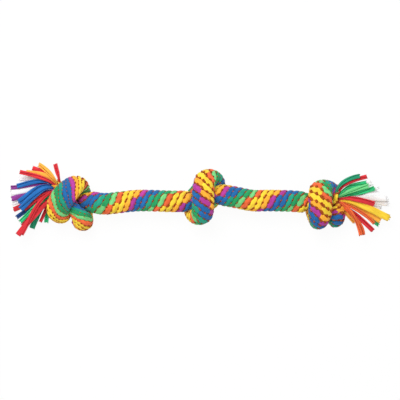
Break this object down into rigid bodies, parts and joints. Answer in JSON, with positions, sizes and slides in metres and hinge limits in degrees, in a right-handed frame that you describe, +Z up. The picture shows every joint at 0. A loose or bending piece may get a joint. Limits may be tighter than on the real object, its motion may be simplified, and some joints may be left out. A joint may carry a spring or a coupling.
{
  "type": "rope dog toy",
  "caption": "Braided jersey tug rope with overhand knots along its length and loose cloth-strip tassels at both ends, for dogs to pull and chew.",
  "frame": {"origin": "on the floor that the toy lies on, under the middle of its overall box", "axes": "+X along the rope, from the left tassel to the right one; +Z up from the floor"},
  "size_m": [0.4666, 0.0908, 0.0594],
  "materials": {
    "rope_cover": "braided jersey strips in diagonal rows of purple, blue, teal, green, orange and yellow",
    "rope_core": "red jersey filler strips",
    "yellow_strip": "rolled jersey strip with a frayed end",
    "gold_strip": "rolled jersey strip",
    "orange_strip": "rolled jersey strip",
    "red_strip": "rolled jersey strip",
    "purple_strip": "rolled jersey strip",
    "blue_strip": "rolled jersey strip",
    "navy_strip": "rolled jersey strip",
    "green_strip": "rolled jersey strip",
    "darkgreen_strip": "rolled jersey strip",
    "lightgreen_strip": "rolled jersey strip",
    "white_strip": "rolled jersey strip with frayed ends"
  },
  "bodies": {
    "centre_knot": {"centre_knot_cover": "rope_cover", "centre_knot_core": "rope_core"},
    "left_rope": {"left_stretch_cover": "rope_cover", "left_stretch_core": "rope_core"},
    "left_end": {"left_knot_cover": "rope_cover", "left_knot_core": "rope_core"},
    "left_tassel": {"left_tassel_gold_1": "gold_strip", "left_tassel_gold_2": "gold_strip", "left_tassel_red_1": "red_strip", "left_tassel_red_2": "red_strip", "left_tassel_red_3": "red_strip", "left_tassel_red_4": "red_strip", "left_tassel_red_5": "red_strip", "left_tassel_red_6": "red_strip", "left_tassel_red_7": "red_strip", "left_tassel_red_8": "red_strip", "left_tassel_red_9": "red_strip", "left_tassel_blue_1": "blue_strip", "left_tassel_blue_2": "blue_strip", "left_tassel_blue_3": "blue_strip", "left_tassel_navy_1": "navy_strip", "left_tassel_purple_1": "purple_strip", "left_tassel_purple_2": "purple_strip", "left_tassel_green_1": "green_strip", "left_tassel_green_2": "green_strip", "left_tassel_darkgreen_1": "darkgreen_strip", "left_tassel_white_1": "white_strip", "left_tassel_white_2": "white_strip", "left_tassel_white_3": "white_strip", "left_tassel_white_4": "white_strip"},
    "right_rope": {"right_stretch_cover": "rope_cover", "right_stretch_core": "rope_core"},
    "right_end": {"right_knot_cover": "rope_cover", "right_knot_core": "rope_core"},
    "right_tassel": {"right_tassel_yellow_1": "yellow_strip", "right_tassel_gold_1": "gold_strip", "right_tassel_gold_2": "gold_strip", "right_tassel_orange_1": "orange_strip", "right_tassel_orange_2": "orange_strip", "right_tassel_orange_3": "orange_strip", "right_tassel_red_1": "red_strip", "right_tassel_red_2": "red_strip", "right_tassel_red_3": "red_strip", "right_tassel_red_4": "red_strip", "right_tassel_green_1": "green_strip", "right_tassel_green_2": "green_strip", "right_tassel_green_3": "green_strip", "right_tassel_darkgreen_1": "darkgreen_strip", "right_tassel_darkgreen_2": "darkgreen_strip", "right_tassel_lightgreen_1": "lightgreen_strip", "right_tassel_white_1": "white_strip", "right_tassel_white_2": "white_strip", "right_tassel_white_3": "white_strip", "right_tassel_white_4": "white_strip", "right_tassel_white_5": "white_strip", "right_tassel_white_6": "white_strip"}
  },
  "joints": [
    {"name": "left_rope_bend", "type": "hinge", "parent": "centre_knot", "child": "left_rope", "pos_m": [-0.03574, -0.00238, 0.02848], "axis": [0, 0, 1], "range_deg": [-45, 45], "stiffness_Nm_per_rad": 0.2},
    {"name": "left_end_lift", "type": "hinge", "parent": "left_rope", "child": "left_end", "pos_m": [-0.11823, -0.00533, 0.03075], "axis": [0, 1, 0], "range_deg": [-45, 45], "stiffness_Nm_per_rad": 0.2},
    {"name": "left_tassel_sway", "type": "hinge", "parent": "left_end", "child": "left_tassel", "pos_m": [-0.17113, 0.01234, 0.02832], "axis": [0, 0, 1], "range_deg": [-15, 8], "stiffness_Nm_per_rad": 0.02},
    {"name": "right_rope_bend", "type": "hinge", "parent": "centre_knot", "child": "right_rope", "pos_m": [0.04235, 0.00286, 0.02848], "axis": [0, 0, 1], "range_deg": [-45, 45], "stiffness_Nm_per_rad": 0.2},
    {"name": "right_end_lift", "type": "hinge", "parent": "right_rope", "child": "right_end", "pos_m": [0.11004, -0.00191, 0.028], "axis": [0, 1, 0], "range_deg": [-45, 45], "stiffness_Nm_per_rad": 0.2},
    {"name": "right_tassel_sway", "type": "hinge", "parent": "right_end", "child": "right_tassel", "pos_m": [0.16439, -0.00015, 0.02627], "axis": [0, 0, 1], "range_deg": [-8, 8], "stiffness_Nm_per_rad": 0.02}
  ]
}
